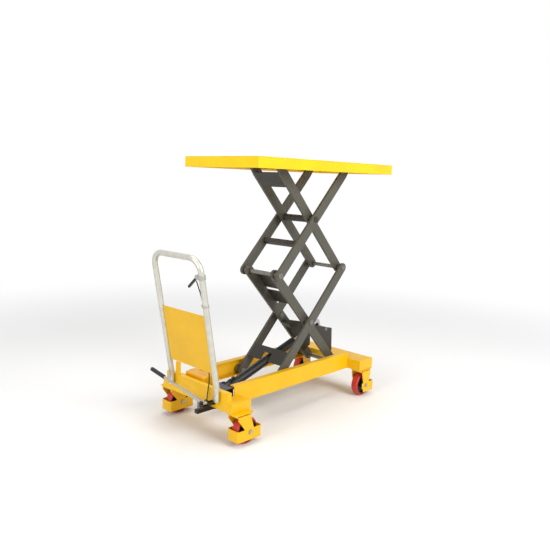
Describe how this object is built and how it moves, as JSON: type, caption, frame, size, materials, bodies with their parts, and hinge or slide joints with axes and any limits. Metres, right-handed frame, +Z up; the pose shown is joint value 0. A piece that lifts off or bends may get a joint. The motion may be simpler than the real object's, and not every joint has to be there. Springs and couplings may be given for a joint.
{
  "type": "scissor lift table",
  "caption": "Mobile hydraulic lift table: a flat platform on a double scissor, on a wheeled base with a push handle, foot pump pedal and hand release lever.",
  "frame": {"origin": "on the floor, under the middle of the table's bounding box, with the platform fully raised", "axes": "+X forward, away from the push handle; +Y to the left; +Z up"},
  "size_m": [1.5282, 0.696, 1.53],
  "materials": {
    "frame_paint": "semi-gloss yellow enamel",
    "kick_plate_paint": "semi-gloss yellow enamel",
    "platform_paint": "semi-gloss yellow enamel",
    "arm_paint": "satin warm-grey enamel",
    "pin_steel": "turned, oiled steel",
    "bolt_zinc": "bright zinc plate",
    "handle_zinc": "bright zinc-plated tube",
    "hydraulic_black": "gloss black enamel",
    "rod_chrome": "hard chrome",
    "lever_black": "black powder coat",
    "cable_jacket": "matt black jacket",
    "hose_rubber": "matt black hose",
    "grip_rubber": "ribbed black rubber",
    "pedal_steel": "black enamel socket and zinc rod",
    "wheel_polyurethane": "cast red polyurethane",
    "wheel_core": "black cast core"
  },
  "bodies": {
    "base": {"side_channel_left": "frame_paint", "side_channel_right": "frame_paint", "rear_cross_member": "frame_paint", "front_cross_member": "frame_paint", "base_pivot_shaft": "pin_steel", "cylinder_bracket": "hydraulic_black", "handle_tube": "handle_zinc", "kick_plate": "kick_plate_paint", "pump_unit": "hydraulic_black", "hydraulic_hose": "hose_rubber", "release_cable": "cable_jacket", "cable_clips": "lever_black", "release_clamp": "lever_black", "caster_plates": "frame_paint", "front_caster_fork_left": "frame_paint", "front_caster_fork_right": "frame_paint", "frame_bolts": "bolt_zinc", "pedal_bracket": "lever_black"},
    "lower_inner": {"lower_inner_arm_left": "arm_paint", "lower_inner_arm_right": "arm_paint", "lower_inner_plates": "arm_paint", "crank_plates": "arm_paint", "crank_pin": "pin_steel", "lower_centre_pins": "pin_steel"},
    "lower_outer": {"lower_outer_arm_left": "arm_paint", "lower_outer_arm_right": "arm_paint", "lower_outer_plate": "arm_paint"},
    "upper_outer": {"upper_outer_arm_left": "arm_paint", "upper_outer_arm_right": "arm_paint", "upper_outer_tube": "arm_paint", "rear_junction_shaft": "pin_steel"},
    "upper_inner": {"upper_inner_arm_left": "arm_paint", "upper_inner_arm_right": "arm_paint", "upper_inner_plate": "arm_paint", "upper_centre_tube": "arm_paint", "front_junction_shaft": "pin_steel"},
    "platform": {"platform_deck": "platform_paint", "platform_skirt": "platform_paint", "platform_rails": "platform_paint", "platform_pivot_pins": "pin_steel"},
    "barrel": {"cylinder_barrel": "hydraulic_black"},
    "rod": {"cylinder_rod": "rod_chrome"},
    "base_rollers": {"base_rollers": "pin_steel"},
    "platform_rollers": {"platform_rollers": "pin_steel"},
    "pedal": {"pedal_lever": "pedal_steel", "pedal_grip": "grip_rubber"},
    "plunger": {"pump_plunger": "pin_steel"},
    "release": {"release_lever": "lever_black"},
    "rear_caster_left": {"rear_caster_fork_left": "frame_paint", "rear_axle_bolt_left": "bolt_zinc"},
    "rear_wheel_left": {"rear_wheel_left_tread": "wheel_polyurethane", "rear_wheel_left_core": "wheel_core"},
    "front_wheel_left": {"front_wheel_left_tread": "wheel_polyurethane", "front_wheel_left_core": "wheel_core"},
    "rear_caster_right": {"rear_caster_fork_right": "frame_paint", "rear_axle_bolt_right": "bolt_zinc"},
    "rear_wheel_right": {"rear_wheel_right_tread": "wheel_polyurethane", "rear_wheel_right_core": "wheel_core"},
    "front_wheel_right": {"front_wheel_right_tread": "wheel_polyurethane", "front_wheel_right_core": "wheel_core"}
  },
  "joints": [
    {"name": "lift_fold", "type": "hinge", "parent": "base", "child": "lower_inner", "pos_m": [0.48611, 0, 0.218], "axis": [0, -1, 0], "range_deg": [0, 39]},
    {"name": "lower_outer_fold", "type": "hinge", "parent": "lower_inner", "child": "lower_outer", "pos_m": [0.18911, 0, 0.539], "axis": [0, -1, 0], "range_deg": [-78, 0]},
    {"name": "upper_outer_fold", "type": "hinge", "parent": "lower_inner", "child": "upper_outer", "pos_m": [-0.10789, 0, 0.86], "axis": [0, -1, 0], "range_deg": [-78, 0]},
    {"name": "upper_inner_fold", "type": "hinge", "parent": "upper_outer", "child": "upper_inner", "pos_m": [0.18911, 0, 1.181], "axis": [0, -1, 0], "range_deg": [0, 78]},
    {"name": "platform_level", "type": "hinge", "parent": "upper_outer", "child": "platform", "pos_m": [0.48611, 0, 1.502], "axis": [0, -1, 0], "range_deg": [0, 39]},
    {"name": "cylinder_swing", "type": "hinge", "parent": "base", "child": "barrel", "pos_m": [-0.37089, 0, 0.196], "axis": [0, -1, 0], "range_deg": [-3.63, 0]},
    {"name": "rod_slide", "type": "slide", "parent": "barrel", "child": "rod", "axis": [0.9511, 0, 0.3088], "range_m": [-0.156, 0]},
    {"name": "base_roller_spin", "type": "hinge", "parent": "lower_outer", "child": "base_rollers", "pos_m": [-0.10789, 0, 0.218], "axis": [0, 1, 0], "continuous": true},
    {"name": "platform_roller_spin", "type": "hinge", "parent": "upper_inner", "child": "platform_rollers", "pos_m": [-0.10789, 0, 1.502], "axis": [0, 1, 0], "continuous": true},
    {"name": "foot_pedal", "type": "hinge", "parent": "base", "child": "pedal", "pos_m": [-0.67089, -0.158, 0.225], "axis": [-1, 0, 0], "range_deg": [0, 13], "stiffness_Nm_per_rad": 30, "springref_deg": -17.19},
    {"name": "plunger_slide", "type": "slide", "parent": "base", "child": "plunger", "axis": [0, 0, -1], "range_m": [0, 0.0105]},
    {"name": "release_squeeze", "type": "hinge", "parent": "base", "child": "release", "pos_m": [-0.73069, -0.164, 0.914], "axis": [0.9833, 0, 0.1822], "range_deg": [0, 22], "stiffness_Nm_per_rad": 2, "springref_deg": -11.46},
    {"name": "rear_swivel_left", "type": "hinge", "parent": "base", "child": "rear_caster_left", "pos_m": [-0.53789, 0.295, 0.183], "axis": [0, 0, 1], "continuous": true},
    {"name": "rear_wheel_spin_left", "type": "hinge", "parent": "rear_caster_left", "child": "rear_wheel_left", "pos_m": [-0.49789, 0.295, 0.075], "axis": [0, 1, 0], "continuous": true},
    {"name": "front_wheel_spin_left", "type": "hinge", "parent": "base", "child": "front_wheel_left", "pos_m": [0.60511, 0.262, 0.075], "axis": [0, 1, 0], "continuous": true},
    {"name": "rear_swivel_right", "type": "hinge", "parent": "base", "child": "rear_caster_right", "pos_m": [-0.53789, -0.295, 0.183], "axis": [0, 0, 1], "continuous": true},
    {"name": "rear_wheel_spin_right", "type": "hinge", "parent": "rear_caster_right", "child": "rear_wheel_right", "pos_m": [-0.49789, -0.295, 0.075], "axis": [0, 1, 0], "continuous": true},
    {"name": "front_wheel_spin_right", "type": "hinge", "parent": "base", "child": "front_wheel_right", "pos_m": [0.60511, -0.262, 0.075], "axis": [0, 1, 0], "continuous": true}
  ],
  "couplings": [
    {"joint": "lower_outer_fold", "follows": "lift_fold", "ratio": -2},
    {"joint": "upper_outer_fold", "follows": "lift_fold", "ratio": -2},
    {"joint": "upper_inner_fold", "follows": "lift_fold", "ratio": 2},
    {"joint": "platform_level", "follows": "lift_fold", "ratio": 1},
    {"joint": "cylinder_swing", "follows": "lift_fold", "ratio": -0.0928},
    {"joint": "rod_slide", "follows": "lift_fold", "m_per_rad": -0.2285},
    {"joint": "plunger_slide", "follows": "foot_pedal", "m_per_rad": 0.0455}
  ]
}
